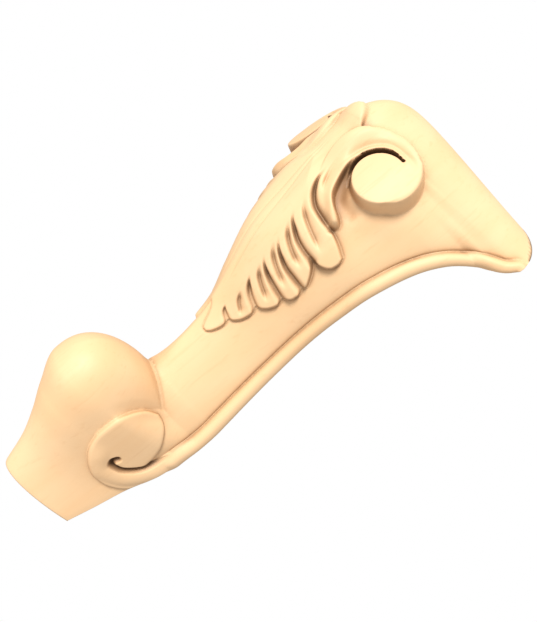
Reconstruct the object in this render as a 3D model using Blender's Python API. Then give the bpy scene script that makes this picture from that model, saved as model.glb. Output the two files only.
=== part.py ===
# Carved cabriole bracket: one piece of pale wood, fixed by its flat top.
# Metres, +Z up, the front faces -Y, and the origin is the middle of the flat top.
# The design values are millimetres. Depth is measured down from the top.

from math import cos, pi, radians, sin, sqrt

import bmesh
import bpy
import numpy as np

MM = 0.001

# Overall length and the place of the leg's upright axis behind the middle of the top
LENGTH = 280.0
AXIS_BEHIND_MOUNT = 8.0

# Sections of the leg: share of the length, front, half width, back,
# fullness of the nose, fullness of the flank, angle of the back corner in degrees
LEG = [
    (0.075, 63.5, 78.8, 12.6, 8.0, 55.0, 47.0),
    (0.095, 64.2, 75.0, 10.6, 9.0, 55.0, 52.0),
    (0.118, 64.5, 65.5, 6.5, 10.0, 53.0, 60.0),
    (0.164, 63.4, 57.5, -1.5, 7.5, 52.5, 72.0),
    (0.221, 60.8, 52.3, -6.5, 5.5, 46.5, 73.0),
    (0.286, 56.7, 48.0, -8.3, 3.5, 39.9, 74.0),
    (0.361, 52.4, 41.2, -4.0, 3.8, 34.1, 75.0),
    (0.446, 42.3, 33.6, 4.0, 5.0, 27.2, 77.0),
    (0.504, 34.9, 30.4, 9.0, 3.5, 20.7, 78.0),
    (0.554, 30.0, 28.4, 12.8, 6.0, 17.0, 79.0),
    (0.605, 27.2, 27.3, 16.0, 7.4, 17.5, 80.0),
    (0.654, 25.9, 26.7, 18.8, 11.0, 17.8, 80.0),
    (0.696, 27.6, 26.3, 20.8, 14.5, 18.5, 80.0),
    (0.732, 29.5, 26.0, 21.2, 13.5, 18.0, 80.0),
]

# Sections of the foot, from the widest part of the rolled toe to the flat sole
FOOT = [
    (0.777, 69.0, 25.7, 20.0, 26.0, 58.0, 90.0),
    (0.839, 60.8, 25.0, 15.4, 23.0, 45.0, 88.0),
    (0.889, 52.0, 24.3, 9.0, 17.5, 34.0, 84.0),
    (0.938, 44.9, 24.0, 4.4, 13.0, 25.0, 80.0),
    (1.0, 39.0, 22.8, -1.0, 9.5, 20.0, 78.0),
]

# Cushion edge of the top: its height and its share of the plan, at the front and at the ears
RIM_FRONT = 34.0
RIM_EAR = 19.0
RIM_SHARE_FRONT = 0.46
RIM_SHARE_EAR = 0.36

# Crease where the ankle meets the top of the rolled toe, and the fullness of the roll
CREASE_FRONT = 190.6
CREASE_SIDE = 201.6
CREASE_END = 0.42
CREASE_BEND = 1.7
TOE_FULLNESS_FRONT = 2.9
TOE_FULLNESS_SIDE = 1.6

# Shares of the half section where the ball of the toe passes into the plain flank
FLANK_STARTS = 0.40
FLANK_ENDS = 0.60

# Bead along the back edge: half width at the ear, the knee and the heel
BEAD_EAR = 3.0
BEAD_KNEE = 3.8
BEAD_HEEL = 4.4
BEAD_GROOVE = 1.2
FOOT_CARVING = 190.0

# Leaf: thickness, and its lobes as root, bend and tip, and half widths at root, middle and tip.
# A place on the face is (across, depth), across being measured square to the diagonal view.
LEAF_THICK = 3.8
LEAF_TOP = 30.0
LEAF_END = 152.0
LEAF_BODY = 11.0
LEAF_FADE = 25.0
MIDRIB_SHARE = 0.3
MIDRIB_HALF = 14.0
LOBES = [
    ((-31.5, 42.0), (-33.0, 69.5), (-11.5, 74.4), 4.6, 4.8, 3.3),
    ((-35.0, 66.0), (-22.0, 88.0), (-1.6, 85.3), 6.0, 7.6, 5.6),
    ((-31.0, 83.0), (-18.0, 101.0), (-3.4, 99.9), 5.0, 6.6, 5.0),
    ((-28.5, 97.0), (-14.5, 112.0), (-2.2, 110.4), 5.0, 5.8, 5.2),
    ((-26.0, 108.0), (-14.0, 123.0), (-5.4, 121.2), 5.0, 6.4, 5.6),
    ((-21.5, 122.0), (-14.5, 136.0), (-11.0, 136.4), 5.2, 7.2, 6.2),
    ((-19.0, 134.0), (-17.0, 146.0), (-16.0, 151.0), 4.2, 4.2, 3.4),
]
RIB_HALF = 2.0
RIB_GROOVE = 0.35

# C-scroll beside the leaf: middle of its eye in space, its turn and tilt, and its radii
EYE = (32.9, -52.0, -46.7)
SCROLL_TURN = 26.0
SCROLL_TILT = 4.0
EYE_RADIUS = 13.5
EYE_DOME = 0.8
SCROLL_REACH = 28.9
SCROLL_OPENS = (-30.0, 160.0)
SCROLL_EDGE = 0.8
GAP_FROM = 86.0
GAP_TO = 228.0
GAP_WIDE = 2.3
GAP_DEEP = 7.0
STRAND_LOW = 17.5
STRAND_HIGH = 25.0
BAND_CHANNEL = 1.0
BAND_JOINS_LEAF = (165.0, 222.0)
CHANNEL_JOINS_LEAF = (178.0, 205.0)

# Cove between the eye of the scroll and the first lobe
COVE = [(-25.0, 53.0), (-21.6, 60.4), (-17.0, 65.2), (-10.0, 66.4)]
COVE_HALF = 3.6
COVE_DEEP = 2.0

# Scroll on the side of the foot
BUTTON = (5.2, 220.0)
BUTTON_HALF = (13.8, 15.4)
BUTTON_PROUD = 2.0
FOOT_BAND = [(28.6, 210.0), (27.6, 222.0), (23.2, 234.0), (14.8, 242.8), (6.0, 244.6), (-0.6, 239.0),
             (-3.4, 229.6), (-1.2, 220.0)]
FOOT_BAND_HALF = (3.6, 5.8)
FOOT_BAND_HIGH = 3.2

# Fineness of the surface before it is thinned, and the triangles kept
COLUMNS = 110
LEG_ROWS = 250
TOE_ROWS = 40
FOOT_ROWS = 90
RIM_ROWS = 24
BACK_COLUMNS = 24
TRIANGLES_KEPT = 9400

PALE_WOOD = (0.86, 0.62, 0.36, 1.0)
WOOD_ROUGHNESS = 0.55


def smooth(values, first, last):
    """Ease from 0 to 1 while the values go from first to last."""
    t = np.clip((values - first) / (last - first), 0.0, 1.0)
    return t * t * (3.0 - 2.0 * t)


def greater(a, b, blend):
    """The greater of two heights, with the corner between them rounded over a blend."""
    h = np.clip(0.5 + 0.5 * (a - b) / blend, 0.0, 1.0)
    return b + (a - b) * h + blend * h * (1.0 - h)


def fair_curve(places, sizes, at, level_start=False):
    """Smooth curve through the sizes at the places, with no overshoot between them."""
    places = np.asarray(places, float)
    sizes = np.asarray(sizes, float)
    gap = np.diff(places)
    rise = np.diff(sizes) / gap
    slope = np.zeros(len(places))
    slope[0] = 0.0 if level_start else rise[0]
    slope[-1] = rise[-1]
    for k in range(1, len(places) - 1):
        if rise[k - 1] * rise[k] > 0.0:
            before = 2.0 * gap[k] + gap[k - 1]
            after = gap[k] + 2.0 * gap[k - 1]
            slope[k] = (before + after) / (before / rise[k - 1] + after / rise[k])
    k = np.clip(np.searchsorted(places, at) - 1, 0, len(gap) - 1)
    t = np.clip((at - places[k]) / gap[k], 0.0, 1.0)
    return ((1 + 2 * t) * (1 - t) ** 2 * sizes[k]
            + t * (1 - t) ** 2 * gap[k] * slope[k]
            + t * t * (3 - 2 * t) * sizes[k + 1]
            + t * t * (t - 1) * gap[k] * slope[k + 1])


def section(table, depth, shares):
    """Right half of a level section, as points at the given shares of its length."""
    columns = list(zip(*table))
    depths = LENGTH * np.asarray(columns[0])
    level = table is FOOT
    sizes = [float(fair_curve(depths, c, depth, level)) for c in columns[1:]]
    front, half, back, nose, flank, turn = sizes
    turn = radians(turn)
    handles = np.array([
        (0.0, -front),
        (nose, -front),
        (half - flank * cos(turn), back - flank * sin(turn)),
        (half, back),
    ])
    t = np.linspace(0.0, 1.0, 129)[:, None]
    curve = ((1 - t) ** 3 * handles[0] + 3 * (1 - t) ** 2 * t * handles[1]
             + 3 * (1 - t) * t * t * handles[2] + t ** 3 * handles[3])
    run = np.concatenate([[0.0], np.cumsum(np.hypot(*np.diff(curve, axis=0).T))])
    run /= run[-1]
    return np.stack([np.interp(shares, run, curve[:, 0]), np.interp(shares, run, curve[:, 1])], axis=-1)


def on_leg(depths, shares):
    """Points of the leg at one depth for each share."""
    levels = np.linspace(depths.min(), depths.max() + 0.1, 3)
    points = np.array([section(LEG, level, shares) for level in levels])
    place = (depths - levels[0]) / (levels[1] - levels[0])
    low = np.clip(place.astype(int), 0, 1)
    part = (place - low)[:, None]
    each = np.arange(len(shares))
    return points[low, each] * (1 - part) + points[low + 1, each] * part


def row(plan, depths):
    return np.concatenate([plan, -np.asarray(depths)[:, None]], axis=1)


def bare_half():
    """Right half of the uncarved bracket, as rows of points from the top to the sole."""
    shares = np.linspace(0.0, 1.0, COLUMNS)
    rim = RIM_FRONT + (RIM_EAR - RIM_FRONT) * shares
    rim_share = RIM_SHARE_FRONT + (RIM_SHARE_EAR - RIM_SHARE_FRONT) * shares
    round_side = np.minimum(shares / CREASE_END, 1.0)
    crease = CREASE_FRONT + (CREASE_SIDE - CREASE_FRONT) * round_side ** CREASE_BEND
    shoulder = on_leg(rim, shares)
    back = shoulder[-1, 1]
    rows = []
    for k in range(RIM_ROWS):
        angle = 0.5 * pi * (1.0 - k / RIM_ROWS)
        keep = 1.0 - rim_share * (1.0 - cos(angle))
        plan = shoulder * keep[:, None]
        plan[:, 1] += back * (1.0 - keep)
        rows.append(row(plan, rim * (1.0 - sin(angle))))
    for k in range(LEG_ROWS):
        depths = rim + (crease - rim) * k / LEG_ROWS
        rows.append(row(on_leg(depths, shares), depths))
    ankle = on_leg(crease, shares)
    toe_depth = LENGTH * FOOT[0][0]
    toe = section(FOOT, toe_depth, shares)
    power = 2.0 / (TOE_FULLNESS_FRONT + (TOE_FULLNESS_SIDE - TOE_FULLNESS_FRONT) * round_side)
    flank = smooth(shares, FLANK_STARTS, FLANK_ENDS)
    for k in range(TOE_ROWS):
        angle = 0.5 * pi * k / TOE_ROWS
        fall = 1.0 - cos(angle) ** power
        fall = fall * (1.0 - flank) + (k / TOE_ROWS) * flank
        swell = sin(angle) ** power * (1.0 - flank) + smooth(fall, 0.0, 1.0) * flank
        plan = ankle + (toe - ankle) * swell[:, None]
        rows.append(row(plan, crease + (toe_depth - crease) * fall))
    for k in range(FOOT_ROWS + 1):
        depth = toe_depth + (LENGTH - toe_depth) * k / FOOT_ROWS
        rows.append(row(section(FOOT, depth, shares), np.full(COLUMNS, depth)))
    return np.array(rows)


def outward(points):
    """Normals of the rows of points, pointing out of the wood."""
    along = np.gradient(points, axis=1)
    down = np.gradient(points, axis=0)
    normals = np.cross(down, along)
    normals[:, 0, 0] = 0.0
    normals /= np.maximum(np.linalg.norm(normals, axis=-1, keepdims=True), 1e-9)
    return normals


def bow(root, bend, tip, count=24):
    """Curve from a root to a tip, drawn towards a bend."""
    t = np.linspace(0.0, 1.0, count)[:, None]
    return (1 - t) ** 2 * np.array(root) + 2 * (1 - t) * t * np.array(bend) + t * t * np.array(tip)


def rounded_line(points, count=48):
    """Smooth curve through a few places, by their running length."""
    points = np.asarray(points, float)
    run = np.concatenate([[0.0], np.cumsum(np.hypot(*np.diff(points, axis=0).T))])
    at = np.linspace(0.0, run[-1], count)
    return np.stack([fair_curve(run, points[:, 0], at), fair_curve(run, points[:, 1], at)], axis=-1)


def nearest(across, depth, curve):
    """Distance to a curve, share of its length at the nearest place, and the side."""
    best = np.full(across.shape, 1e9)
    share = np.zeros(across.shape)
    side = np.zeros(across.shape)
    count = len(curve) - 1
    for k in range(count):
        start = curve[k]
        step = curve[k + 1] - start
        t = ((across - start[0]) * step[0] + (depth - start[1]) * step[1]) / (step @ step)
        t = np.clip(t, 0.0, 1.0)
        off_across = across - start[0] - t * step[0]
        off_depth = depth - start[1] - t * step[1]
        distance = np.hypot(off_across, off_depth)
        closer = distance < best
        best = np.where(closer, distance, best)
        share = np.where(closer, (k + t) / count, share)
        side = np.where(closer, np.sign(step[0] * off_depth - step[1] * off_across), side)
    return best, share, side


def rounded(ratio, power=2.4):
    """Cross-section of a raised band: 1 in the middle, 0 at its edges."""
    return np.maximum(1.0 - np.abs(ratio) ** power, 0.0) ** 0.55


def lobe(across, depth, root, bend, tip, *halves):
    """One lobe of the leaf, hollowed along its vein."""
    distance, share, side = nearest(across, depth, bow(root, bend, tip))
    half = np.interp(share, [0.0, 0.55, 1.0], halves)
    ratio = side * distance / half
    height = LEAF_THICK * (0.55 + 0.45 * smooth(share, 0.0, 0.35)) * rounded(ratio)
    vein = 0.55 * smooth(share, 0.05, 0.3) * (1.0 - smooth(share, 0.7, 0.95))
    return height - vein * np.exp(-((ratio + 0.15) / 0.16) ** 2) * (np.abs(ratio) < 1.0)


def leaf(across, depth, spine):
    """Height of the leaf: its body on the spine, and its lobes."""
    reach = 1.0 - 0.5 * smooth(depth, 95.0, LEAF_END)
    height = LEAF_THICK * (1.0 - smooth(across - spine, LEAF_BODY * reach, LEAF_FADE * reach))
    lip = LEAF_TOP - 3.0 + 1.6 * (across - spine)
    height *= smooth(depth - lip, 0.0, 2.0)
    height *= 1.0 - smooth(depth, LEAF_END - 22.0, LEAF_END)
    for shape in LOBES:
        height = np.maximum(height, lobe(across, depth, *shape))
    return height


def rib(points):
    """Two fine grooves, one each side of the leaf's midrib."""
    width = RIB_HALF * smooth(-points[..., 2], 45.0, 100.0) + 0.6
    line = np.exp(-((points[..., 0] - width) / 0.5) ** 2)
    depth = -points[..., 2]
    return RIB_GROOVE * line * smooth(depth, 40.0, 60.0) * (1.0 - smooth(depth, 130.0, 145.0))


def scroll_face():
    """Directions of the flat face of the C-scroll: out of it, along it and up it."""
    turn = radians(SCROLL_TURN)
    tilt = radians(SCROLL_TILT)
    out = np.array([sin(turn) * cos(tilt), -cos(turn) * cos(tilt), sin(tilt)])
    along = np.array([cos(turn), sin(turn), 0.0])
    return out, along, np.cross(out, along)


def volute(points, height):
    """Height with the C-scroll raised in its own plane, and how far its eye is."""
    out, along, upward = scroll_face()
    off = points - np.array(EYE)
    plane = -(off @ out)
    side = off @ along
    rise = off @ upward
    reach = np.hypot(side, rise)
    first, last = SCROLL_OPENS
    angle = (np.degrees(np.arctan2(rise, side)) - first) % 360.0 + first
    outer = EYE_RADIUS + (SCROLL_REACH - EYE_RADIUS) * np.minimum((angle - first) / (last - first), 1.0)
    on_leaf = smooth(reach, STRAND_LOW, STRAND_HIGH) * smooth(angle, 70.0, 110.0)
    to_face = plane + (greater(plane, np.full(plane.shape, LEAF_THICK), 1.5) - plane) * on_leaf
    inner = EYE_RADIUS + GAP_WIDE * smooth(angle, GAP_FROM, GAP_FROM + 30.0)
    band = to_face * smooth(outer - reach, -SCROLL_EDGE, SCROLL_EDGE)
    channel = BAND_CHANNEL * np.exp(-((reach - inner - 2.9) / 1.5) ** 2)
    channel *= smooth(angle, 55.0, 90.0) * (1.0 - smooth(angle, *CHANNEL_JOINS_LEAF))
    joined = 1.0 - smooth(angle, *BAND_JOINS_LEAF)
    near = (off[..., 1] < 40.0) & (points[..., 2] > -110.0) & (plane > -6.0)
    level = np.maximum(band, height)
    on_strand = smooth(angle, 90.0, 110.0) * (reach > inner) * (reach < outer)
    level += (to_face - level) * (1.0 - on_leaf) * on_strand
    raised = height + (level - height) * joined - channel
    raised = np.where(near & (angle < GAP_TO), raised, height)
    gap = (angle > GAP_FROM) & (angle < GAP_TO) & (reach > EYE_RADIUS - 1.0) & (reach < inner)
    bottom = np.minimum(plane - GAP_DEEP, 0.0) * (1.0 - smooth(angle, 200.0, GAP_TO))
    around = np.where(gap & near, bottom, raised)
    eye = plane + EYE_DOME * (1.0 - (reach / EYE_RADIUS) ** 2)
    in_eye = smooth(EYE_RADIUS - reach, -SCROLL_EDGE, SCROLL_EDGE) * near
    return around + (eye - around) * in_eye, reach


def bead(across, depth, edge):
    """Half-round bead along the back edge with a groove on its inner side, and its width."""
    distance, share, side = nearest(across, depth, edge)
    half = np.interp(depth, [20.0, 60.0, 120.0, 210.0], [BEAD_EAR, BEAD_KNEE, BEAD_KNEE, BEAD_HEEL])
    fade = (1.0 - smooth(depth, 218.0, 232.0)) * smooth(depth, 14.0, 18.0)
    off = np.minimum(np.abs(distance - half) / half, 1.0)
    low = np.where(distance > half, -BEAD_GROOVE, 0.0)
    height = low + (0.8 * half - low) * np.sqrt(1.0 - off * off)
    beside = -BEAD_GROOVE * np.exp(-np.maximum(distance - 2.0 * half, 0.0) / 1.5)
    return np.where(distance < 2.0 * half, height, beside) * fade, distance < 2.0 * half


def foot_scroll(across, depth):
    """Round button and the band that curls under it."""
    radius = np.hypot((across - BUTTON[0]) / BUTTON_HALF[0], (depth - BUTTON[1]) / BUTTON_HALF[1])
    height = BUTTON_PROUD * rounded(radius, 4.0)
    distance, share, side = nearest(across, depth, rounded_line(FOOT_BAND))
    half = FOOT_BAND_HALF[0] + (FOOT_BAND_HALF[1] - FOOT_BAND_HALF[0]) * smooth(share, 0.0, 0.6)
    high = FOOT_BAND_HIGH * smooth(share, 0.0, 0.15) * (1.0 - 0.6 * smooth(share, 0.6, 1.0))
    band = high * rounded(np.minimum(distance / half, 1.0))
    ring = np.exp(-((radius - 1.06) / 0.07) ** 2) * (1.0 - smooth(across, 6.0, 16.0))
    return np.maximum(height, band) - 1.2 * ring * (band < 0.6) * (radius > 1.0)


def carve(points):
    """Raise the carving out of the bare surface."""
    normals = outward(points)
    across = (points[..., 0] + points[..., 1]) / sqrt(2.0)
    depth = -points[..., 2]
    by_midrib = (1.0 - smooth(points[..., 0], 0.0, MIDRIB_HALF)) * smooth(depth, 28.0, 46.0)
    height = leaf(across, depth, across[:, :1]) * (1.0 - (1.0 - MIDRIB_SHARE) * by_midrib) - rib(points)
    to_cove = nearest(across, depth, rounded_line(COVE))[0]
    height -= COVE_DEEP * np.exp(-(to_cove / COVE_HALF) ** 2) * (height < 0.3)
    height, reach = volute(points, height)
    knee = depth < FOOT_CARVING
    to_back = np.linalg.norm(points - points[:, -1:], axis=-1)
    height = np.where(knee, height, foot_scroll(across, depth) * smooth(to_back, 0.0, 3.5))
    edge_rows = depth[:, -1] > RIM_EAR + 3.0
    edge = np.stack([across[edge_rows, -1], depth[edge_rows, -1]], axis=-1)[::4]
    raised, on_bead = bead(across, depth, edge)
    sunk = height - BEAD_GROOVE * smooth(depth, 14.0, 18.0) * (1.0 - smooth(depth, 218.0, 232.0))
    height = np.where(on_bead, np.maximum(sunk, raised), height + raised)
    height[:, -1] = 0.0
    height[:3] = 0.0
    height[-1] = 0.0
    near = smooth(points[..., 0], 2.0, 10.0) * (1.0 - smooth(reach, SCROLL_REACH, SCROLL_REACH + 7.0)) * knee
    facing = normals * (1.0 - near[..., None]) + scroll_face()[0] * near[..., None]
    facing /= np.linalg.norm(facing, axis=-1, keepdims=True)
    return points + facing * height[..., None]


def rings():
    """Closed rings of points round the bracket, from the top to the sole."""
    half = carve(bare_half())
    half[:, 0, 0] = 0.0
    share = np.linspace(0.0, 1.0, BACK_COLUMNS + 1)[1:-1]
    closed = []
    for line in half:
        mirrored = line[:0:-1] * np.array([-1.0, 1.0, 1.0])
        back = np.repeat(line[-1:], len(share), axis=0)
        back[:, 0] *= 1.0 - 2.0 * share
        closed.append(np.concatenate([line, back, mirrored]))
    return np.array(closed)


def bracket_mesh():
    """Mesh of the whole bracket, closed by its flat top and sole."""
    points = rings()
    points[..., 1] += AXIS_BEHIND_MOUNT
    points *= MM
    mesh = bpy.data.meshes.new("carved_bracket")
    work = bmesh.new()
    verts = [[work.verts.new(place) for place in ring] for ring in points]
    count = len(verts[0])
    for upper, lower in zip(verts, verts[1:]):
        for k in range(count):
            after = (k + 1) % count
            work.faces.new((upper[k], lower[k], lower[after], upper[after]))
    work.faces.new(verts[0])
    work.faces.new(verts[-1][::-1])
    bmesh.ops.triangulate(work, faces=work.faces[:])
    bmesh.ops.recalc_face_normals(work, faces=work.faces[:])
    work.to_mesh(mesh)
    work.free()
    return mesh


def pale_wood():
    material = bpy.data.materials.new("pale_wood")
    material.use_nodes = True
    shader = material.node_tree.nodes["Principled BSDF"]
    shader.inputs["Base Color"].default_value = PALE_WOOD
    shader.inputs["Roughness"].default_value = WOOD_ROUGHNESS
    shader.inputs["Metallic"].default_value = 0.0
    return material


def build():
    for thing in list(bpy.data.objects):
        bpy.data.objects.remove(thing)
    mesh = bracket_mesh()
    bracket = bpy.data.objects.new("carved_bracket", mesh)
    bpy.context.scene.collection.objects.link(bracket)
    mesh.materials.append(pale_wood())
    thin = bracket.modifiers.new("thin", "DECIMATE")
    thin.ratio = TRIANGLES_KEPT / len(mesh.polygons)


build()
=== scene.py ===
# Looks of the carved cabriole bracket: fine carving, pale limewood, studio light and camera.
# The design values are millimetres in the leg's own frame: the leg's upright axis is X = Y = 0,
# the flat top is at depth 0 and the carved front faces -Y.

from math import cos, pi, radians, sin, sqrt

import bmesh
import bpy
import numpy as np
from mathutils import Matrix, Vector


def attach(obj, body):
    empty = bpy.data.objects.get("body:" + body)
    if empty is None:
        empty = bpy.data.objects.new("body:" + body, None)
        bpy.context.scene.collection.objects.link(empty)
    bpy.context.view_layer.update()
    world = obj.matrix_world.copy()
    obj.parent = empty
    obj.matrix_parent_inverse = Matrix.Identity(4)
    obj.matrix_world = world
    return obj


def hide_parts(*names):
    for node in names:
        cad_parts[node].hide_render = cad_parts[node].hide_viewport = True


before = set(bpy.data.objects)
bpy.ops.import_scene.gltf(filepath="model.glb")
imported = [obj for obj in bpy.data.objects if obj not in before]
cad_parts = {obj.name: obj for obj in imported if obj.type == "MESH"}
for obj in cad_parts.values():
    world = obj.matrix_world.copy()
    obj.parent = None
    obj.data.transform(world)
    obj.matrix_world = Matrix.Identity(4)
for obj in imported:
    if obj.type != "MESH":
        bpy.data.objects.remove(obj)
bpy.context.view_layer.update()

MM = 0.001

# The bare bracket

LENGTH = 280.0
AXIS_BEHIND_MOUNT = 8.0

# Sections of the leg: share of the length, front, half width, back,
# fullness of the nose, fullness of the flank, angle of the back corner in degrees
LEG = [
    (0.075, 63.5, 78.8, 12.6, 8.0, 55.0, 47.0),
    (0.095, 64.2, 75.0, 10.6, 9.0, 55.0, 52.0),
    (0.118, 64.5, 65.5, 6.5, 10.0, 53.0, 60.0),
    (0.164, 63.4, 57.5, -1.5, 7.5, 52.5, 72.0),
    (0.221, 60.8, 52.3, -6.5, 5.5, 46.5, 73.0),
    (0.286, 56.7, 48.0, -8.3, 3.5, 39.9, 74.0),
    (0.361, 52.4, 41.2, -4.0, 3.8, 34.1, 75.0),
    (0.446, 42.3, 33.6, 4.0, 5.0, 27.2, 77.0),
    (0.504, 34.9, 30.4, 9.0, 3.5, 20.7, 78.0),
    (0.554, 30.0, 28.4, 12.8, 6.0, 17.0, 79.0),
    (0.605, 27.2, 27.3, 16.0, 7.4, 17.5, 80.0),
    (0.654, 25.9, 26.7, 18.8, 11.0, 17.8, 80.0),
    (0.696, 27.6, 26.3, 20.8, 14.5, 18.5, 80.0),
    (0.732, 29.5, 26.0, 21.2, 13.5, 18.0, 80.0),
]

# Sections of the foot, from the widest part of the rolled toe to the flat sole
FOOT = [
    (0.777, 69.0, 25.7, 20.0, 26.0, 58.0, 90.0),
    (0.839, 60.8, 25.0, 15.4, 23.0, 45.0, 88.0),
    (0.889, 52.0, 24.3, 9.0, 17.5, 34.0, 84.0),
    (0.938, 44.9, 24.0, 4.4, 13.0, 25.0, 80.0),
    (1.0, 39.0, 22.8, -1.0, 9.5, 20.0, 78.0),
]

# Cushion edge of the top: its height and its share of the plan, at the front and at the ears
RIM_FRONT = 34.0
RIM_EAR = 19.0
RIM_SHARE_FRONT = 0.46
RIM_SHARE_EAR = 0.36

# Crease where the ankle meets the top of the rolled toe
CREASE_FRONT = 190.6
CREASE_SIDE = 201.6
CREASE_END = 0.42
CREASE_BEND = 1.7
TOE_FULLNESS_FRONT = 2.9
TOE_FULLNESS_SIDE = 1.6

# The roll of the toe turns down into the crease: how deep, and over what length
CREASE_DEEP = 0.9
CREASE_ROLL = 8.0

# Shares of the half section where the ball of the toe passes into the plain flank
FLANK_STARTS = 0.36
FLANK_ENDS = 0.54

# The carving. A place on the face is (across, depth), across being measured square to the
# diagonal view of the corner.

# Bead along the back edge: half width at the ear, the knee and the heel
BEAD_EAR = 3.0
BEAD_KNEE = 3.8
BEAD_HEEL = 4.4
BEAD_GROOVE = 1.2
BEAD_SLOPE = 1.9
BEAD_WIDTHS_AT = (20.0, 60.0, 120.0, 210.0)
BEAD_STARTS = (14.0, 18.0)
BEAD_ENDS = (218.0, 232.0)

# Leaf: thickness at the knee and at its point, and the rounding of its edge
LEAF_THICK = 3.9
LEAF_POINT_THICK = 2.3
LEAF_THINS = (90.0, 150.0)
LEAF_EDGE_ROUND = 1.7
LEAF_WALL = 0.55
LEAF_FLOOR = 0.5
STOP_CUT = 0.45
LIP_CUT = 2.6
LIP_ENDS = (30.0, 42.0)
LEAF_LIP = [(-70.0, 22.0), (-47.0, 23.5), (-43.2, 26.0), (-40.6, 29.4), (-38.4, 33.5), (-35.5, 36.6)]
LEAF_GAP_SIDE = [(-35.5, 36.6), (-29.6, 39.6), (-28.2, 44.0), (-28.0, 49.5), (-26.7, 55.2), (-24.1, 61.7),
                 (-20.8, 67.0), (-16.0, 70.2), (-11.4, 72.0), (-8.4, 74.6), (-8.7, 76.6), (-10.6, 77.6)]
LEAF_LOBES = [
    [(-10.6, 77.8), (-3.0, 79.6), (3.4, 82.0)],
    [(3.7, 82.2), (4.6, 84.8), (4.0, 88.2), (1.4, 91.0), (-2.4, 92.5), (-6.2, 93.0)],
    [(-6.0, 93.2), (-2.1, 95.9), (1.1, 100.0), (2.9, 103.6), (1.6, 105.2)],
    [(1.6, 105.6), (3.4, 108.6), (3.0, 111.8), (0.6, 114.9), (-0.9, 115.8)],
    [(-0.9, 116.2), (0.4, 119.4), (-1.0, 123.8), (-3.6, 127.0), (-6.6, 128.9)],
    [(-6.6, 129.3), (-4.8, 132.6), (-5.6, 137.6), (-8.4, 142.4), (-10.8, 144.2)],
    [(-10.8, 144.6), (-9.8, 147.8), (-10.8, 152.6), (-12.6, 156.4), (-14.6, 157.8), (-16.3, 156.2),
     (-18.6, 151.0), (-21.4, 146.2), (-26.0, 143.0), (-70.0, 142.0)],
]

# Grooves between the lobes, from root to edge: places, half width and depth at the edge
LOBE_GROOVES = [
    ([(-34.6, 58.0), (-33.2, 63.6), (-31.2, 68.2), (-27.2, 73.2), (-21.4, 76.4), (-9.4, 78.1)], 2.4, 3.2),
    ([(-28.2, 83.6), (-26.0, 86.8), (-21.4, 89.8), (-15.6, 92.3), (-9.9, 93.1), (-4.5, 93.2)], 3.4, 3.3),
    ([(-24.6, 96.8), (-21.6, 99.8), (-16.4, 102.9), (-8.8, 105.0), (4.0, 105.4)], 3.2, 3.3),
    ([(-22.6, 108.0), (-19.1, 111.0), (-12.6, 113.9), (-5.5, 115.4), (1.0, 116.2)], 3.0, 3.1),
    ([(-20.2, 119.6), (-16.6, 123.6), (-11.6, 127.1), (-4.6, 129.6)], 2.9, 3.0),
    ([(-17.4, 139.6), (-14.6, 142.6), (-9.0, 145.0)], 2.4, 2.8),
]

# Hollow drawn down the middle of each lobe: places, half width and depth
LOBE_HOLLOWS = [
    ([(-33.8, 40.0), (-33.5, 49.0), (-32.3, 57.0), (-30.2, 62.3), (-27.6, 66.6), (-23.2, 70.6)], 1.7, 2.2),
    ([(-29.4, 76.4), (-24.6, 81.0), (-18.4, 83.8), (-11.0, 86.0), (-4.0, 87.4)], 1.5, 2.3),
    ([(-26.6, 88.2), (-22.2, 93.5), (-16.8, 96.6), (-11.0, 98.4), (-4.6, 99.0)], 1.6, 2.6),
    ([(-24.0, 100.4), (-19.8, 105.0), (-14.0, 108.0), (-7.6, 109.9), (-2.4, 110.8)], 1.6, 2.5),
    ([(-20.6, 112.4), (-16.6, 117.0), (-11.0, 119.9), (-3.4, 122.4)], 1.5, 2.4),
    ([(-17.4, 128.4), (-13.4, 133.6), (-7.0, 137.2)], 1.4, 2.0),
]

# Midrib: two fine grooves, and where they run
RIB_HALF = 2.0
RIB_GROOVE = 0.45
RIB_FROM = 45.0
RIB_TO = 136.0

# Leaf lowered beside the spine: share taken off, how far out, and where it begins and ends
SPINE_LOWERED = 0.7
SPINE_LOWERED_OUT = (0.0, 10.0)
SPINE_LOWERED_FROM = (35.0, 60.0)
CROWN_LOWERED = 0.85
CROWN_LOWERED_OUT = (7.0, 20.0)
CROWN_LOWERED_FROM = (28.0, 42.0)
CROWN_LOWERED_TO = (54.0, 74.0)

# C-scroll beside the leaf: middle of its eye in space, its turn and tilt, and its radii
EYE = (32.9, -52.0, -46.7)
SCROLL_TURN = 26.0
SCROLL_TILT = 4.0
EYE_RADIUS = 13.5
EYE_DOME = 0.8
EYE_SKIRT = 2.0
EYE_SKIRT_HALF = 8.0
SCROLL_REACH = 28.9
SCROLL_OPENS = (-30.0, 160.0)
SCROLL_EDGE = 0.55
SCROLL_BEHIND = 40.0
SCROLL_LOWEST = 110.0
SCROLL_DEEPEST = 6.0
SCROLL_FADES = 7.0
GAP_FROM = 84.0
GAP_TO = 232.0
GAP_NARROW = 0.4
GAP_WIDE = 1.9
GAP_DEEP = 8.0
STRAND_LOW = 17.5
STRAND_HIGH = 25.0
BAND_CHANNEL = 1.1
BAND_ROUND = 1.1
BAND_ROUND_HALF = 3.0
BAND_JOINS_LEAF = (165.0, 222.0)
CHANNEL_JOINS_LEAF = (178.0, 205.0)

# Strand of the leaf that runs on from the band: its ridge, half width and rise at the tip
STRAND = [(-27.6, 54.0), (-25.2, 61.0), (-21.2, 67.6), (-15.6, 72.4), (-10.6, 75.4)]
STRAND_HALF = 2.6
STRAND_RISE = 3.0

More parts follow.
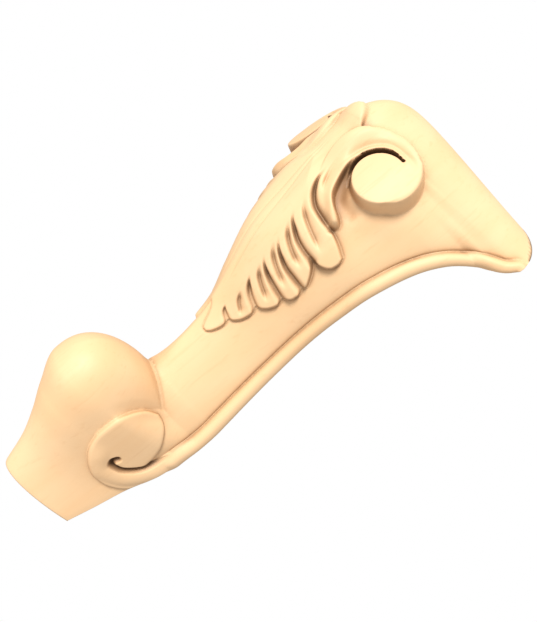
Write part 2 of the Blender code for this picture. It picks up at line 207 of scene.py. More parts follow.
# Cove between the eye of the scroll and the strand
COVE = [(-25.0, 53.0), (-21.6, 60.4), (-17.0, 65.2), (-10.0, 66.4)]
COVE_HALF = 3.6
COVE_DEEP = 2.2

# Scroll on the side of the foot: outline of its plate, and the crevice under its button
PLATE_EDGE = [(3.0, 204.4), (-2.5, 206.2), (-6.4, 211.0), (-8.8, 218.7), (-9.1, 227.0), (-7.5, 235.6),
              (-4.2, 242.4), (0.4, 247.4), (6.0, 250.4), (12.0, 250.9), (18.0, 249.2), (25.0, 244.0),
              (36.0, 232.0)]
PLATE_BUTTON = [(36.0, 210.0), (24.3, 214.0), (21.8, 224.0), (19.4, 229.6), (19.2, 224.6), (17.9, 217.6),
                (14.6, 211.6), (9.4, 206.8), (3.0, 204.4)]
PLATE_THICK = 2.3
PLATE_ROUND = 2.4
PLATE_VALLEY = 2.6
CREVICE = [(25.1, 205.0), (24.7, 213.0), (23.2, 221.0), (19.9, 229.6), (15.6, 235.2), (11.0, 238.2),
           (7.2, 238.6), (5.6, 236.0), (6.4, 233.9)]
CREVICE_DEEP = 4.4
CREVICE_HALF = 2.1

# Band that runs on from the bead and curls under the button
FOOT_BAND = [(28.6, 210.0), (27.6, 222.0), (23.2, 234.0), (14.8, 242.8), (6.0, 244.6), (-0.6, 239.0),
             (-3.4, 229.6), (-1.2, 220.0)]
FOOT_BAND_HALF = (4.4, 5.8)
FOOT_BAND_HIGH = 3.4
FOOT_CARVING = 190.0

# Fineness of the surface: columns of half the section, rows of each stretch, and triangles kept
COLUMNS = 290
RIM_ROWS = 40
CARVED_STEP = 0.36
PLAIN_STEP = 0.9
CARVED_TO = 160.0
SCROLLED_TO = 255.0
TOE_ROWS = 60
FOOT_STEP = 0.42
SOLE_STEP = 0.9
BACK_COLUMNS = 40
TRIANGLES_KEPT = 190000


def smooth(values, first, last):
    """Ease from 0 to 1 while the values go from first to last."""
    t = np.clip((values - first) / (last - first), 0.0, 1.0)
    return t * t * (3.0 - 2.0 * t)


def greater(a, b, blend):
    """The greater of two heights, with the corner between them rounded over a blend."""
    h = np.clip(0.5 + 0.5 * (a - b) / blend, 0.0, 1.0)
    return b + (a - b) * h + blend * h * (1.0 - h)


def fair_curve(places, sizes, at, level_start=False):
    """Smooth curve through the sizes at the places, with no overshoot between them."""
    places = np.asarray(places, float)
    sizes = np.asarray(sizes, float)
    gap = np.diff(places)
    rise = np.diff(sizes) / gap
    slope = np.zeros(len(places))
    slope[0] = 0.0 if level_start else rise[0]
    slope[-1] = rise[-1]
    for k in range(1, len(places) - 1):
        if rise[k - 1] * rise[k] > 0.0:
            before = 2.0 * gap[k] + gap[k - 1]
            after = gap[k] + 2.0 * gap[k - 1]
            slope[k] = (before + after) / (before / rise[k - 1] + after / rise[k])
    k = np.clip(np.searchsorted(places, at) - 1, 0, len(gap) - 1)
    t = np.clip((at - places[k]) / gap[k], 0.0, 1.0)
    return ((1 + 2 * t) * (1 - t) ** 2 * sizes[k]
            + t * (1 - t) ** 2 * gap[k] * slope[k]
            + t * t * (3 - 2 * t) * sizes[k + 1]
            + t * t * (t - 1) * gap[k] * slope[k + 1])


def section(table, depth, shares):
    """Right half of a level section, as points at the given shares of its length."""
    columns = list(zip(*table))
    depths = LENGTH * np.asarray(columns[0])
    level = table is FOOT
    sizes = [float(fair_curve(depths, c, depth, level)) for c in columns[1:]]
    front, half, back, nose, flank, turn = sizes
    turn = radians(turn)
    handles = np.array([
        (0.0, -front),
        (nose, -front),
        (half - flank * cos(turn), back - flank * sin(turn)),
        (half, back),
    ])
    t = np.linspace(0.0, 1.0, 193)[:, None]
    curve = ((1 - t) ** 3 * handles[0] + 3 * (1 - t) ** 2 * t * handles[1]
             + 3 * (1 - t) * t * t * handles[2] + t ** 3 * handles[3])
    run = np.concatenate([[0.0], np.cumsum(np.hypot(*np.diff(curve, axis=0).T))])
    run /= run[-1]
    return np.stack([np.interp(shares, run, curve[:, 0]), np.interp(shares, run, curve[:, 1])], axis=-1)


def on_leg(depths, shares):
    """Points of the leg at one depth for each share."""
    levels = np.linspace(depths.min(), depths.max() + 0.1, 3)
    points = np.array([section(LEG, level, shares) for level in levels])
    place = (depths - levels[0]) / (levels[1] - levels[0])
    low = np.clip(place.astype(int), 0, 1)
    part = (place - low)[:, None]
    each = np.arange(len(shares))
    return points[low, each] * (1 - part) + points[low + 1, each] * part


def row(plan, depths):
    return np.concatenate([plan, -np.asarray(depths)[:, None]], axis=1)


def steps(first, last, step):
    """Depths from first up to last, about a step apart."""
    count = int(round((last - first) / step))
    return first + (last - first) * np.arange(count) / count


def bare_half():
    """Right half of the uncarved bracket, as rows of points from the top to the sole."""
    shares = np.linspace(0.0, 1.0, COLUMNS)
    rim = RIM_FRONT + (RIM_EAR - RIM_FRONT) * shares
    rim_share = RIM_SHARE_FRONT + (RIM_SHARE_EAR - RIM_SHARE_FRONT) * shares
    round_side = np.minimum(shares / CREASE_END, 1.0)
    crease = CREASE_FRONT + (CREASE_SIDE - CREASE_FRONT) * round_side ** CREASE_BEND
    shoulder = on_leg(rim, shares)
    back = shoulder[-1, 1]
    rows = []
    for k in range(RIM_ROWS):
        angle = 0.5 * pi * (1.0 - k / RIM_ROWS)
        keep = 1.0 - rim_share * (1.0 - cos(angle))
        plan = shoulder * keep[:, None]
        plan[:, 1] += back * (1.0 - keep)
        rows.append(row(plan, rim * (1.0 - sin(angle))))
    carved = steps(RIM_FRONT, CARVED_TO, CARVED_STEP)
    plain = steps(CARVED_TO, CREASE_FRONT, PLAIN_STEP)
    for level in np.concatenate([carved, plain]):
        share = (level - RIM_FRONT) / (CREASE_FRONT - RIM_FRONT)
        depths = rim + (crease - rim) * share
        rows.append(row(on_leg(depths, shares), depths))
    ankle = on_leg(crease, shares)
    toe_depth = LENGTH * FOOT[0][0]
    toe = section(FOOT, toe_depth, shares)
    power = 2.0 / (TOE_FULLNESS_FRONT + (TOE_FULLNESS_SIDE - TOE_FULLNESS_FRONT) * round_side)
    flank = smooth(shares, FLANK_STARTS, FLANK_ENDS)
    for k in range(TOE_ROWS):
        angle = 0.5 * pi * k / TOE_ROWS
        fall = 1.0 - cos(angle) ** power
        fall = fall * (1.0 - flank) + (k / TOE_ROWS) * flank
        swell = sin(angle) ** power * (1.0 - flank) + smooth(fall, 0.0, 1.0) * flank
        plan = ankle + (toe - ankle) * swell[:, None]
        rows.append(row(plan, crease + (toe_depth - crease) * fall))
    depths = np.concatenate([
        steps(toe_depth, SCROLLED_TO, FOOT_STEP),
        steps(SCROLLED_TO, LENGTH, SOLE_STEP),
        [LENGTH],
    ])
    for depth in depths:
        rows.append(row(section(FOOT, depth, shares), np.full(COLUMNS, depth)))
    return np.array(rows)


def outward(points):
    """Normals of the rows of points, pointing out of the wood."""
    along = np.gradient(points, axis=1)
    down = np.gradient(points, axis=0)
    normals = np.cross(down, along)
    normals[:, 0, 0] = 0.0
    normals /= np.maximum(np.linalg.norm(normals, axis=-1, keepdims=True), 1e-9)
    return normals


def drawn(points, count=40):
    """Smooth curve through a few places, by their running length."""
    points = np.asarray(points, float)
    run = np.concatenate([[0.0], np.cumsum(np.hypot(*np.diff(points, axis=0).T))])
    at = np.linspace(0.0, run[-1], count)
    return np.stack([fair_curve(run, points[:, 0], at), fair_curve(run, points[:, 1], at)], axis=-1)


def nearest(across, depth, curve):
    """Distance to a curve, share of its length at the nearest place, and the side."""
    best = np.full(across.shape, 1e9)
    share = np.zeros(across.shape)
    side = np.zeros(across.shape)
    count = len(curve) - 1
    for k in range(count):
        start = curve[k]
        step = curve[k + 1] - start
        t = ((across - start[0]) * step[0] + (depth - start[1]) * step[1]) / (step @ step)
        t = np.clip(t, 0.0, 1.0)
        off_across = across - start[0] - t * step[0]
        off_depth = depth - start[1] - t * step[1]
        distance = off_across ** 2 + off_depth ** 2
        closer = distance < best
        best = np.where(closer, distance, best)
        share = np.where(closer, (k + t) / count, share)
        side = np.where(closer, step[0] * off_depth - step[1] * off_across, side)
    return np.sqrt(best), share, np.sign(side)


def within(across, depth, outline):
    """Distance inside a closed outline, negative outside it."""
    closed = np.concatenate([outline, outline[:1]])
    distance = nearest(across, depth, closed)[0]
    inside = np.zeros(across.shape, bool)
    for (a0, d0), (a1, d1) in zip(closed[:-1], closed[1:]):
        if d0 == d1:
            continue
        spans = (d0 > depth) != (d1 > depth)
        inside ^= spans & (across < (a1 - a0) * (depth - d0) / (d1 - d0) + a0)
    return np.where(inside, distance, -distance)


def edge_rise(distance, rounding):
    """Share of the height at a distance inside an edge: a steep wall, then a rounded corner."""
    corner = np.clip(1.0 - (distance + 0.3) / rounding, 0.0, 1.0)
    return np.sqrt(1.0 - corner ** 2.2) * smooth(distance, -LEAF_WALL, 0.35)


def trough(distance, half, power=2.0):
    """Depth of a groove across its width: 1 in the middle and 0 at its edges."""
    return np.clip(1.0 - distance / half, 0.0, 1.0) ** power


def leaf_outline():
    """Edge of the right half of the leaf, from the lip over the lobes to the point."""
    parts = [drawn(LEAF_LIP, 24), drawn(LEAF_GAP_SIDE, 40)]
    parts += [drawn(lobe, 30) for lobe in LEAF_LOBES]
    return np.concatenate(parts)


def leaf(across, depth):
    """Height of the leaf above the bare knee."""
    inside = within(across, depth, leaf_outline())
    thick = LEAF_THICK + (LEAF_POINT_THICK - LEAF_THICK) * smooth(depth, *LEAF_THINS)
    height = thick * edge_rise(inside, LEAF_EDGE_ROUND)
    cut = np.zeros(across.shape)
    for places, half, deep in LOBE_GROOVES:
        distance, share, side = nearest(across, depth, drawn(places))
        grown = smooth(share, 0.0, 0.42)
        rounded = np.sqrt(distance * distance + 0.09) - 0.3
        cut = np.maximum(cut, deep * grown * trough(rounded, 0.5 + half * smooth(share, 0.0, 0.7), 2.4))
    hollow = np.zeros(across.shape)
    for places, half, deep in LOBE_HOLLOWS:
        distance, share, side = nearest(across, depth, drawn(places))
        grown = smooth(share, 0.0, 0.35) * (1.0 - smooth(share, 0.70, 1.0))
        skewed = distance * np.where(side > 0.0, 1.5, 0.62)
        width = half * (0.45 + 0.55 * smooth(share, 0.0, 0.5))
        scooped = 0.70 * np.exp(-(skewed / width) ** 2) + 0.22 * np.exp(-(distance / 0.6) ** 2)
        hollow = np.maximum(hollow, deep * grown * scooped)
    carved = np.maximum(height - np.maximum(cut, hollow), np.minimum(height, LEAF_FLOOR))
    distance, share, side = nearest(across, depth, drawn(STRAND))
    strand = STRAND_RISE * smooth(share, 0.1, 0.9) * np.exp(-(distance / STRAND_HALF) ** 2)
    carved += strand * height / thick
    outside = np.maximum(-inside - LEAF_WALL, 0.0)
    stop_cut = STOP_CUT * np.exp(-outside / 0.7)
    behind_lip = LIP_CUT * np.exp(-outside / 1.6) * (1.0 - smooth(depth, *LIP_ENDS))
    return np.where(inside > -LEAF_WALL, carved, -np.maximum(stop_cut, behind_lip))


def lowered(points):
    """Share taken off the leaf's height beside the spine."""
    across = points[..., 0]
    depth = -points[..., 2]
    spine = SPINE_LOWERED * (1.0 - smooth(across, *SPINE_LOWERED_OUT)) * smooth(depth, *SPINE_LOWERED_FROM)
    crown = CROWN_LOWERED * (1.0 - smooth(across, *CROWN_LOWERED_OUT)) * smooth(depth, *CROWN_LOWERED_FROM)
    return np.maximum(spine, crown * (1.0 - smooth(depth, *CROWN_LOWERED_TO)))


def rib(points):
    """Two fine grooves, one each side of the leaf's midrib."""
    depth = -points[..., 2]
    width = RIB_HALF * smooth(depth, RIB_FROM, 100.0) + 0.6
    line = np.exp(-((points[..., 0] - width) / 0.5) ** 2)
    starts = smooth(depth, RIB_FROM - 5.0, RIB_FROM + 15.0)
    ends = 1.0 - smooth(depth, RIB_TO - 15.0, RIB_TO)
    return RIB_GROOVE * line * starts * ends


def scroll_face():
    """Directions of the flat face of the C-scroll: out of it, along it and up it."""
    turn = radians(SCROLL_TURN)
    tilt = radians(SCROLL_TILT)
    out = np.array([sin(turn) * cos(tilt), -cos(turn) * cos(tilt), sin(tilt)])
    along = np.array([cos(turn), sin(turn), 0.0])
    return out, along, np.cross(out, along)


def volute(points, height, cove):
    """Height with the C-scroll raised in its own plane, and how far its eye is."""
    out, along, upward = scroll_face()
    off = points - np.array(EYE)
    plane = -(off @ out)
    side = off @ along
    rise = off @ upward
    reach = np.hypot(side, rise)
    skirt = np.exp(-(np.maximum(reach - EYE_RADIUS, 0.0) / EYE_SKIRT_HALF) ** 2)
    height = height + EYE_SKIRT * skirt * smooth(-rise, -4.0, 10.0) * smooth(side, -14.0, -2.0)
    first, last = SCROLL_OPENS
    angle = (np.degrees(np.arctan2(rise, side)) - first) % 360.0 + first
    outer = EYE_RADIUS + (SCROLL_REACH - EYE_RADIUS) * np.minimum((angle - first) / (last - first), 1.0)
    inner = EYE_RADIUS + GAP_NARROW + (GAP_WIDE - GAP_NARROW) * smooth(angle, 90.0, 130.0)
    on_leaf = smooth(reach, STRAND_LOW, STRAND_HIGH) * smooth(angle, 70.0, 110.0)
    to_face = plane + (greater(plane, np.full(plane.shape, LEAF_THICK), 1.5) - plane) * on_leaf
    from_edge = outer - reach
    band = to_face - BAND_ROUND * np.clip(1.0 - from_edge / BAND_ROUND_HALF, 0.0, 1.0) ** 2
    band *= smooth(from_edge, -SCROLL_EDGE, SCROLL_EDGE)
    channel = BAND_CHANNEL * np.exp(-((reach - inner - 2.9) / 1.5) ** 2)
    channel *= smooth(angle, 55.0, 90.0) * (1.0 - smooth(angle, *CHANNEL_JOINS_LEAF))
    joined = 1.0 - smooth(angle, *BAND_JOINS_LEAF)
    near = (off[..., 1] < SCROLL_BEHIND) & (points[..., 2] > -SCROLL_LOWEST) & (plane > -SCROLL_DEEPEST)
    level = np.maximum(band, height)
    on_strand = smooth(angle, 90.0, 110.0) * (reach > inner) * (reach < outer)
    level += (to_face - level) * (1.0 - on_leaf) * on_strand
    raised = height + (level - height) * joined - channel
    raised = np.where(near & (angle < GAP_TO), raised, height)
    gap = (angle > GAP_FROM) & (angle < GAP_TO) & (reach > EYE_RADIUS - 1.0) & (reach < inner)
    floor_of_gap = np.minimum(plane - GAP_DEEP, 0.0) * (1.0 - smooth(angle, 190.0, GAP_TO))
    floor_of_gap = np.minimum(floor_of_gap, cove)
    around = np.where(gap & near, floor_of_gap, raised)
    eye = plane + EYE_DOME * (1.0 - (reach / EYE_RADIUS) ** 2)
    in_eye = smooth(EYE_RADIUS - reach, -SCROLL_EDGE, SCROLL_EDGE) * near
    return around + (eye - around) * in_eye, reach


def bead_share(depth):
    """Share of the bead's full height at a depth, fading at the ear and at the heel."""
    return smooth(depth, *BEAD_STARTS) * (1.0 - smooth(depth, *BEAD_ENDS))


def bead(across, depth, edge):
    """Half-round bead along the back edge with a groove on its inner side, and where it is."""
    distance, share, side = nearest(across, depth, edge)
    half = np.interp(depth, BEAD_WIDTHS_AT, [BEAD_EAR, BEAD_KNEE, BEAD_KNEE, BEAD_HEEL])
    off = np.minimum(np.abs(distance - half) / half, 1.0)
    round_top = (1.0 - off * off) ** np.where(distance > half, 0.72, 0.5)
    low = np.where(distance > half, -BEAD_GROOVE, 0.0)
    height = low + (0.8 * half - low) * round_top
    beside = -BEAD_GROOVE * np.exp(-np.maximum(distance - 2.0 * half, 0.0) / BEAD_SLOPE)
    on_bead = distance < 2.0 * half
    return np.where(on_bead, height, beside) * bead_share(depth), on_bead


def foot_scroll(across, depth):
    """Plate of the foot scroll with its round button, and the crevice that it curls round."""
    outline = np.concatenate([drawn(PLATE_EDGE, 60), drawn(PLATE_BUTTON, 50)])
    inside = within(across, depth, outline)
    height = PLATE_THICK * edge_rise(inside, PLATE_ROUND)
    beside = np.maximum(-inside, 0.0)
    valley = PLATE_VALLEY * np.exp(-beside / 3.0) * smooth(beside, 0.0, 0.4)
    valley *= 1.0 - smooth(across, 6.0, 20.0)
    distance, share, side = nearest(across, depth, drawn(CREVICE, 60))
    half = 0.9 + (CREVICE_HALF - 0.9) * smooth(share, 0.25, 0.65)
    deep = 0.5 + (CREVICE_DEEP - 0.5) * smooth(share, 0.2, 0.62)
    off, run, side = nearest(across, depth, drawn(FOOT_BAND, 60))
    on_plate = np.maximum(smooth(inside, -0.6, 1.8), smooth(across, 17.0, 23.0))
    wide = FOOT_BAND_HALF[0] + (FOOT_BAND_HALF[1] - FOOT_BAND_HALF[0]) * smooth(run, 0.0, 0.6)
    high = FOOT_BAND_HIGH * smooth(run, 0.0, 0.15) * (1.0 - smooth(run, 0.72, 1.0))
    band = high * np.sqrt(np.maximum(1.0 - (off / wide) ** 2, 0.0)) * on_plate
    return greater(height - valley, band, 0.8) - deep * trough(distance, half, 1.3)


def crease_dip(points):
    """Depth by which the roll of the toe turns down into the crease."""
    lengths = np.linalg.norm(np.diff(points, axis=0), axis=-1)
    run = np.concatenate([np.zeros((1, COLUMNS)), np.cumsum(lengths, axis=0)])
    run -= run[np.argmin(np.abs(points[:, 0, 2] + CREASE_FRONT))]
    share = np.linspace(0.0, 1.0, COLUMNS)
    fade = 1.0 - smooth(share, FLANK_STARTS - 0.04, FLANK_ENDS - 0.04)
    return CREASE_DEEP * fade * smooth(run, -0.5, 0.7) * np.exp(-np.maximum(run, 0.0) / CREASE_ROLL)


def eased(heights):
    """Heights with their sharpest corners taken off."""
    for axis in (0, 1):
        padded = np.pad(heights, [(1, 1) if k == axis else (0, 0) for k in (0, 1)], mode="edge")
        before = np.take(padded, range(heights.shape[axis]), axis)
        after = np.take(padded, range(2, heights.shape[axis] + 2), axis)
        heights = 0.25 * before + 0.5 * heights + 0.25 * after
    return heights


def carve(points):
    """Raise the carving out of the bare surface."""
    normals = outward(points)
    across = (points[..., 0] + points[..., 1]) / sqrt(2.0)
    depth = -points[..., 2]
    knee = depth < FOOT_CARVING
    height = leaf(across, depth)
    height = np.where(height > 0.0, height * (1.0 - lowered(points)), height) - rib(points)
    cove = -COVE_DEEP * np.exp(-(nearest(across, depth, drawn(COVE))[0] / COVE_HALF) ** 2)
    height += cove * (height < 0.3)
    height, reach = volute(points, height, cove)
    foot = foot_scroll(across, depth)
    to_back = np.linalg.norm(points - points[:, -1:], axis=-1)
    height = np.where(knee, height, foot * smooth(to_back, 0.0, 3.5))
    edge_rows = depth[:, -1] > RIM_EAR + 3.0
    edge = np.stack([across[edge_rows, -1], depth[edge_rows, -1]], axis=-1)[::6]
    raised, on_bead = bead(across, depth, edge)
    sunk = height - BEAD_GROOVE * bead_share(depth)
    height = np.where(on_bead, greater(sunk, raised, 0.3), height + raised)
    height = eased(height - crease_dip(points))
    height[:, -1] = 0.0
    height[:3] = 0.0
    height[-1] = 0.0
    out = scroll_face()[0]
    by_scroll = 1.0 - smooth(reach, SCROLL_REACH, SCROLL_REACH + SCROLL_FADES)
    near = smooth(points[..., 0], 2.0, 10.0) * by_scroll * knee
    facing = normals * (1.0 - near[..., None]) + out * near[..., None]
    facing /= np.linalg.norm(facing, axis=-1, keepdims=True)
    return points + facing * height[..., None]


def rings():
    """Closed rings of points round the bracket, from the top to the sole."""
    half = carve(bare_half())
    half[:, 0, 0] = 0.0
    share = np.linspace(0.0, 1.0, BACK_COLUMNS + 1)[1:-1]
    closed = []
    for line in half:
        mirrored = line[:0:-1] * np.array([-1.0, 1.0, 1.0])
        back = np.repeat(line[-1:], len(share), axis=0)
        back[:, 0] *= 1.0 - 2.0 * share
        closed.append(np.concatenate([line, back, mirrored]))
    return np.array(closed)


def bracket_mesh():
    """Mesh of the whole bracket, closed by its flat top and sole."""
    points = rings()
    points[..., 1] += AXIS_BEHIND_MOUNT
    points *= MM
    rows, count = points.shape[:2]
    index = np.arange(rows * count).reshape(rows, count)
    after = np.roll(index, -1, axis=1)
    quads = np.stack([index[:-1], index[1:], after[1:], after[:-1]], axis=-1).reshape(-1, 4)
    faces = quads[:, ::-1].tolist() + [index[0][::-1].tolist(), index[-1].tolist()]
    mesh = bpy.data.meshes.new("carved_bracket_fine")
    mesh.from_pydata(points.reshape(-1, 3).tolist(), [], faces)
    mesh.update()
    return mesh


def fine_bracket():
    mesh = bracket_mesh()
    piece = bpy.data.objects.new("carved_bracket_fine", mesh)
    bpy.context.scene.collection.objects.link(piece)
    work = bmesh.new()
    work.from_mesh(mesh)
    bmesh.ops.triangulate(work, faces=work.faces[:])
    bmesh.ops.recalc_face_normals(work, faces=work.faces[:])
    work.to_mesh(mesh)
    work.free()
    mesh.materials.append(pale_limewood())
    thin = piece.modifiers.new("thin", "DECIMATE")
    thin.ratio = TRIANGLES_KEPT / len(mesh.polygons)
    mesh.shade_smooth()
    mesh.set_sharp_from_angle(angle=radians(85.0))
    return piece


# Finish: pale limewood, planed and sanded, with painted shade in the recesses and hollows, and edges
# lightened by wear and a painted highlight

WOOD_PALE = (0.97, 0.650, 0.365, 1.0)
WOOD_WARM = (0.95, 0.605, 0.320, 1.0)
WOOD_VEIN = (0.84, 0.49, 0.235, 1.0)
# Near-black painted shade for the fine crevices
WOOD_RECESS_SHADE = (0.16, 0.085, 0.040, 1.0)
# Mid-brown painted shade for the wider hollows
WOOD_SHADED = (0.52, 0.275, 0.125, 1.0)
# Lighter colour on the proud edges: wear and a painted highlight
WOOD_EDGE_WEAR_AND_HIGHLIGHT = (0.99, 0.73, 0.45, 1.0)
# Reach of the occlusion that places the painted shade in the crevices
RECESS_SHADE_REACH = 0.007
# Reach of the occlusion that places the painted shade in the wider hollows
HOLLOW_SHADE_REACH = 0.026


def new_group(name, outputs):
    """Empty node group with the named outputs, as (name, kind) pairs."""
    group = bpy.data.node_groups.new(name, "ShaderNodeTree")
    for label, kind in outputs:
        group.interface.new_socket(label, in_out="OUTPUT", socket_type=kind)
    return group, group.nodes, group.links


def scaled_place(nodes, links, scale):
    """The place on the piece in millimetres, stretched by a scale for each axis."""
    place = nodes.new("ShaderNodeTexCoord")
    mapping = nodes.new("ShaderNodeMapping")
    mapping.inputs["Scale"].default_value = [1000.0 * part for part in scale]
    links.new(place.outputs["Object"], mapping.inputs["Vector"])
    return mapping.outputs["Vector"]


def noise(nodes, links, place, scale, detail, roughness=0.5):
    texture = nodes.new("ShaderNodeTexNoise")
    texture.inputs["Scale"].default_value = scale
    texture.inputs["Detail"].default_value = detail
    texture.inputs["Roughness"].default_value = roughness
    links.new(place, texture.inputs["Vector"])
    return texture.outputs["Fac"]


def ramp(nodes, links, value, low, high):
    """Value from 0 to 1 while the input goes from low to high, with soft ends."""
    span = nodes.new("ShaderNodeMapRange")
    span.interpolation_type = "SMOOTHSTEP"
    span.inputs["From Min"].default_value = low
    span.inputs["From Max"].default_value = high
    links.new(value, span.inputs["Value"])
    return span.outputs["Result"]


def blended(nodes, links, factor, first, second, kind="MIX"):
    """Colour between two colours, each a value or a socket."""
    mix = nodes.new("ShaderNodeMix")
    mix.data_type = "RGBA"
    mix.blend_type = kind
    links.new(factor, mix.inputs["Factor"])
    for name, colour in (("A", first), ("B", second)):
        socket = [item for item in mix.inputs if item.name == name and item.type == "RGBA"][0]
        if isinstance(colour, tuple):
            socket.default_value = colour
        else:
            links.new(colour, socket)
    return [item for item in mix.outputs if item.type == "RGBA"][0]


def figured(nodes, links, operation, *values):
    """Result of a sum on values and sockets."""
    node = nodes.new("ShaderNodeMath")
    node.operation = operation
    for socket, value in zip(node.inputs, values):
        if isinstance(value, float):
            socket.default_value = value
        else:
            links.new(value, socket)
    return node.outputs[0]


def wood_grain():
    """Colour of the wood, the fineness of its fibres and the height of its surface."""
    sockets = [("Color", "NodeSocketColor"), ("Fibre", "NodeSocketFloat"), ("Height", "NodeSocketFloat")]
    group, nodes, links = new_group("limewood_grain", sockets)
    out = nodes.new("NodeGroupOutput")
    slow = noise(nodes, links, scaled_place(nodes, links, (1.0, 1.0, 0.16)), 0.045, 3.0)
    growth = noise(nodes, links, scaled_place(nodes, links, (1.0, 1.0, 0.035)), 0.42, 4.0, 0.6)
    fibre = noise(nodes, links, scaled_place(nodes, links, (1.0, 1.0, 0.03)), 2.6, 3.0, 0.65)
    pores = noise(nodes, links, scaled_place(nodes, links, (1.0, 1.0, 0.09)), 6.0, 1.0)
    chatter = noise(nodes, links, scaled_place(nodes, links, (0.12, 0.12, 1.0)), 0.55, 2.0)
    colour = blended(nodes, links, ramp(nodes, links, slow, 0.34, 0.68), WOOD_PALE, WOOD_WARM)
    vein = figured(nodes, links, "MULTIPLY", ramp(nodes, links, growth, 0.54, 0.74), 0.30)
    colour = blended(nodes, links, vein, colour, WOOD_VEIN)
    fine = figured(nodes, links, "MULTIPLY", ramp(nodes, links, fibre, 0.48, 0.80), 0.16)
    colour = blended(nodes, links, fine, colour, WOOD_VEIN)
    pore = ramp(nodes, links, pores, 0.66, 0.78)
    colour = blended(nodes, links, figured(nodes, links, "MULTIPLY", pore, 0.22), colour, WOOD_VEIN)
    height = figured(nodes, links, "MULTIPLY", fibre, 0.35)
    height = figured(nodes, links, "ADD", height, figured(nodes, links, "MULTIPLY", chatter, 0.65))
    height = figured(nodes, links, "SUBTRACT", height, figured(nodes, links, "MULTIPLY", pore, 0.30))
    links.new(colour, out.inputs["Color"])
    links.new(fibre, out.inputs["Fibre"])
    links.new(height, out.inputs["Height"])
    return group


def shade_and_edge_masks():
    """Masks for painted shade in the fine recesses, for the proud edges lightened by wear and a painted
    highlight, and for painted shade in the wider hollows of the carving.
    """
    sockets = [(name, "NodeSocketFloat") for name in ("RecessShade", "Edge", "Hollow")]
    group, nodes, links = new_group("shade_and_edge_masks", sockets)
    out = nodes.new("NodeGroupOutput")
    # Short-reach occlusion: where painted shade darkens the crevices
    shade = nodes.new("ShaderNodeAmbientOcclusion")
    shade.samples = 8
    shade.inputs["Distance"].default_value = RECESS_SHADE_REACH
    open_share = shade.outputs["AO"]
    # Longer-reach occlusion: where painted shade darkens the wider hollows
    wide = nodes.new("ShaderNodeAmbientOcclusion")
    wide.samples = 8
    wide.inputs["Distance"].default_value = HOLLOW_SHADE_REACH
    shaded = ramp(nodes, links, figured(nodes, links, "SUBTRACT", 1.0, wide.outputs["AO"]), 0.06, 0.46)
    links.new(shaded, out.inputs["Hollow"])
    geometry = nodes.new("ShaderNodeNewGeometry")
    hollow = ramp(nodes, links, geometry.outputs["Pointiness"], 0.495, 0.43)
    closed = figured(nodes, links, "SUBTRACT", 1.0, open_share)
    # Painted shade in the crevices, from occlusion and concave curvature
    recess_shade = figured(nodes, links, "MULTIPLY", closed, 1.25)
    recess_shade = figured(nodes, links, "ADD", recess_shade, figured(nodes, links, "MULTIPLY", hollow, 0.16))
    recess_shade = ramp(nodes, links, recess_shade, 0.10, 0.95)
    # Proud edges, lightened for wear and as a painted highlight
    edge = ramp(nodes, links, geometry.outputs["Pointiness"], 0.515, 0.60)
    links.new(recess_shade, out.inputs["RecessShade"])
    links.new(edge, out.inputs["Edge"])
    return group


def placed(material, group):
    node = material.node_tree.nodes.new("ShaderNodeGroup")
    node.node_tree = group
    return node


def pale_limewood():
    material = bpy.data.materials.new("pale_limewood")
    material.use_nodes = True
    nodes = material.node_tree.nodes
    links = material.node_tree.links
    shader = nodes["Principled BSDF"]
    grain = placed(material, wood_grain())
    masks = placed(material, shade_and_edge_masks())
    # Proud edges lightened: wear and a painted highlight
    worn_and_highlit = figured(nodes, links, "MULTIPLY", masks.outputs["Edge"], 0.35)
    colour = blended(nodes, links, worn_and_highlit, grain.outputs["Color"], WOOD_EDGE_WEAR_AND_HIGHLIGHT)
    # Painted shade in the wider hollows
    shaded = figured(nodes, links, "MULTIPLY", masks.outputs["Hollow"], 0.95)
    colour = blended(nodes, links, shaded, colour, WOOD_SHADED)
    # Painted shade, near black, in the fine crevices
    colour = blended(nodes, links, masks.outputs["RecessShade"], colour, WOOD_RECESS_SHADE)
    links.new(colour, shader.inputs["Base Color"])
    rough = figured(nodes, links, "MULTIPLY_ADD", grain.outputs["Fibre"], 0.16, 0.46)
    links.new(rough, shader.inputs["Roughness"])
    bump = nodes.new("ShaderNodeBump")
    bump.inputs["Strength"].default_value = 0.25
    bump.inputs["Distance"].default_value = 0.00018
    links.new(grain.outputs["Height"], bump.inputs["Height"])
    links.new(bump.outputs["Normal"], shader.inputs["Normal"])
    shader.inputs["Specular IOR Level"].default_value = 0.35
    return material


# Camera, light and stage

CAMERA_DISTANCE = 336.73
CAMERA_TURN = 45.0
CAMERA_ROLL = 49.5
CAMERA_AIM = (0.0, AXIS_BEHIND_MOUNT, -125.66)
CAMERA_LENS = 34.73
SENSOR = 36.0

AMBIENT = 0.50
KEY_STRENGTH = 3.45
KEY_SPREAD = 0.30

FLOOR_HALF = 0.5
FLOOR_BELOW = 1.0

# Where the key light comes from: towards the camera, towards the carved front, and up
KEY_FROM = (0.84, 0.40, 0.36)


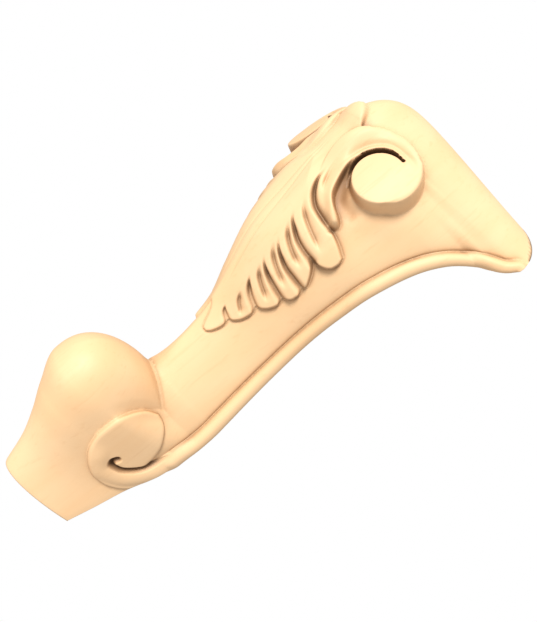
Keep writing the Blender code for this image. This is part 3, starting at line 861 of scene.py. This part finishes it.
def camera():
    data = bpy.data.cameras.new("camera")
    view = bpy.data.objects.new("camera", data)
    bpy.context.scene.collection.objects.link(view)
    turn = radians(CAMERA_TURN)
    back = Vector((sin(turn), -cos(turn), 0.0))
    aim = Vector(CAMERA_AIM) * MM
    view.location = aim + back * CAMERA_DISTANCE * MM
    level = (-back).to_track_quat("-Z", "Y").to_matrix().to_4x4()
    view.rotation_euler = (level @ Matrix.Rotation(radians(CAMERA_ROLL), 4, "Z")).to_euler()
    data.sensor_fit = "VERTICAL"
    data.sensor_height = SENSOR
    data.lens = CAMERA_LENS
    data.clip_start = 0.01
    bpy.context.scene.camera = view


def studio():
    scene = bpy.context.scene
    world = bpy.data.worlds.new("studio")
    scene.world = world
    world.use_nodes = True
    nodes = world.node_tree.nodes
    links = world.node_tree.links
    background = nodes["Background"]
    path = nodes.new("ShaderNodeLightPath")
    strength = nodes.new("ShaderNodeMix")
    strength.data_type = "FLOAT"
    strength.inputs["A"].default_value = AMBIENT
    strength.inputs["B"].default_value = 1.0
    links.new(path.outputs["Is Camera Ray"], strength.inputs["Factor"])
    links.new(strength.outputs["Result"], background.inputs["Strength"])
    background.inputs["Color"].default_value = (1.0, 1.0, 1.0, 1.0)
    key = bpy.data.lights.new("key", "SUN")
    key.energy = KEY_STRENGTH
    key.angle = KEY_SPREAD
    lamp = bpy.data.objects.new("key", key)
    scene.collection.objects.link(lamp)
    turn = radians(CAMERA_TURN)
    nearer, forward, upward = KEY_FROM
    to_right = sin(turn) * nearer - cos(turn) * forward
    to_back = -cos(turn) * nearer - sin(turn) * forward
    source = Vector((to_right, to_back, upward))
    lamp.rotation_euler = source.to_track_quat("Z", "Y").to_euler()
    scene.view_settings.view_transform = "Standard"


def floor():
    mesh = bpy.data.meshes.new("floor")
    half = FLOOR_HALF
    corners = [(x, y, -FLOOR_BELOW) for x, y in ((-half, -half), (half, -half), (half, half), (-half, half))]
    mesh.from_pydata(corners, [], [(0, 1, 2, 3)])
    piece = bpy.data.objects.new("floor", mesh)
    bpy.context.scene.collection.objects.link(piece)
    material = bpy.data.materials.new("floor")
    material.use_nodes = True
    material.node_tree.nodes["Principled BSDF"].inputs["Base Color"].default_value = (0.9, 0.9, 0.9, 1.0)
    mesh.materials.append(material)


piece = fine_bracket()
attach(piece, "root")
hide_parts("carved_bracket")
floor()
camera()
studio()

bpy.context.view_layer.update()
